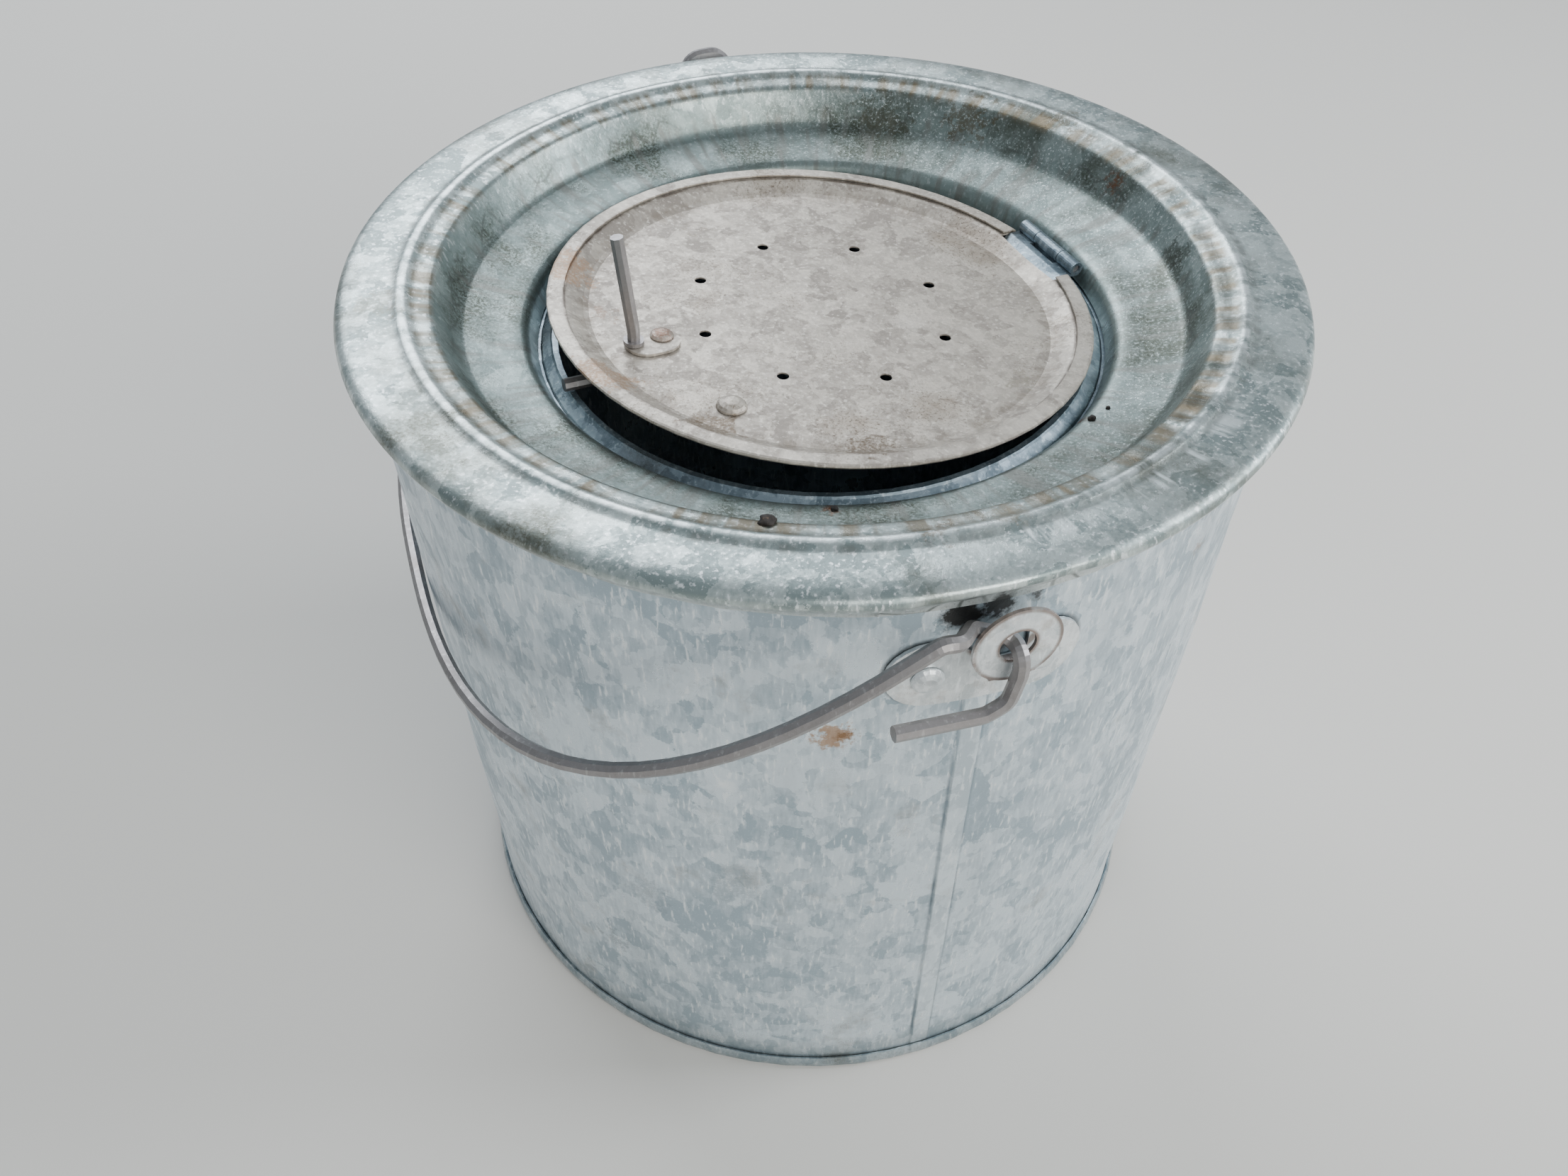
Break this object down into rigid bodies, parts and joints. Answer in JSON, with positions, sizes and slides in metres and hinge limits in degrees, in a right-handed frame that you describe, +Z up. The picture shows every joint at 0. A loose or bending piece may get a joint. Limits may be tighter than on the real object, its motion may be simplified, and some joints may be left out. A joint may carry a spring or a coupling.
{
  "type": "lidded bait bucket",
  "caption": "Galvanised steel bait bucket with a dished top ring, a hinged perforated lid with a wire catch, and a hooked wire bail in two riveted ears.",
  "frame": {"origin": "on the floor plane, on the pail's axis", "axes": "+Z up along the pail's axis, -Y towards the picture's viewer, +X to the viewer's right"},
  "size_m": [0.2928, 0.3091, 0.2817],
  "materials": {
    "zinc_wall": "galvanised, pale blue-grey spangle, dull",
    "zinc_ring": "galvanised, grey-green with brown grime",
    "zinc_lid": "galvanised, worn to a dull warm grey",
    "zinc_neck": "galvanised, dark with grime",
    "zinc_ear": "galvanised stamping",
    "rivet_zinc": "galvanised rivet, soft sheen",
    "steel_wire": "dull dark grey galvanised wire"
  },
  "bodies": {
    "bucket": {"pail_wall": "zinc_wall", "pail_bottom": "zinc_wall", "top_ring": "zinc_ring", "neck_collar": "zinc_neck", "front_ear": "zinc_ear", "rear_ear": "zinc_ear", "front_ear_rivet_left": "rivet_zinc", "front_ear_rivet_right": "rivet_zinc", "rear_ear_rivet_left": "rivet_zinc", "rear_ear_rivet_right": "rivet_zinc", "hinge_bracket": "zinc_neck", "hinge_pin": "steel_wire"},
    "handle": {"bail": "steel_wire"},
    "cover": {"lid": "zinc_lid", "lid_rivet": "zinc_lid", "hinge_strap": "zinc_neck", "catch_plate": "zinc_lid", "catch_rivet": "zinc_lid"},
    "latch": {"catch_wire": "steel_wire"}
  },
  "joints": [
    {"name": "bail_swing", "type": "hinge", "parent": "bucket", "child": "handle", "pos_m": [0, 0, 0.2357], "axis": [-0.3502, 0.9367, 0], "range_deg": [0, 197]},
    {"name": "lid_hinge", "type": "hinge", "parent": "bucket", "child": "cover", "pos_m": [0.07522, 0.04169, 0.2396], "axis": [-0.4848, 0.8746, 0], "range_deg": [0, 110]},
    {"name": "catch_turn", "type": "hinge", "parent": "cover", "child": "latch", "pos_m": [-0.05455, -0.02955, 0.25125], "axis": [0.0686, 0.038, 0.9969], "range_deg": [-90, 90]}
  ]
}
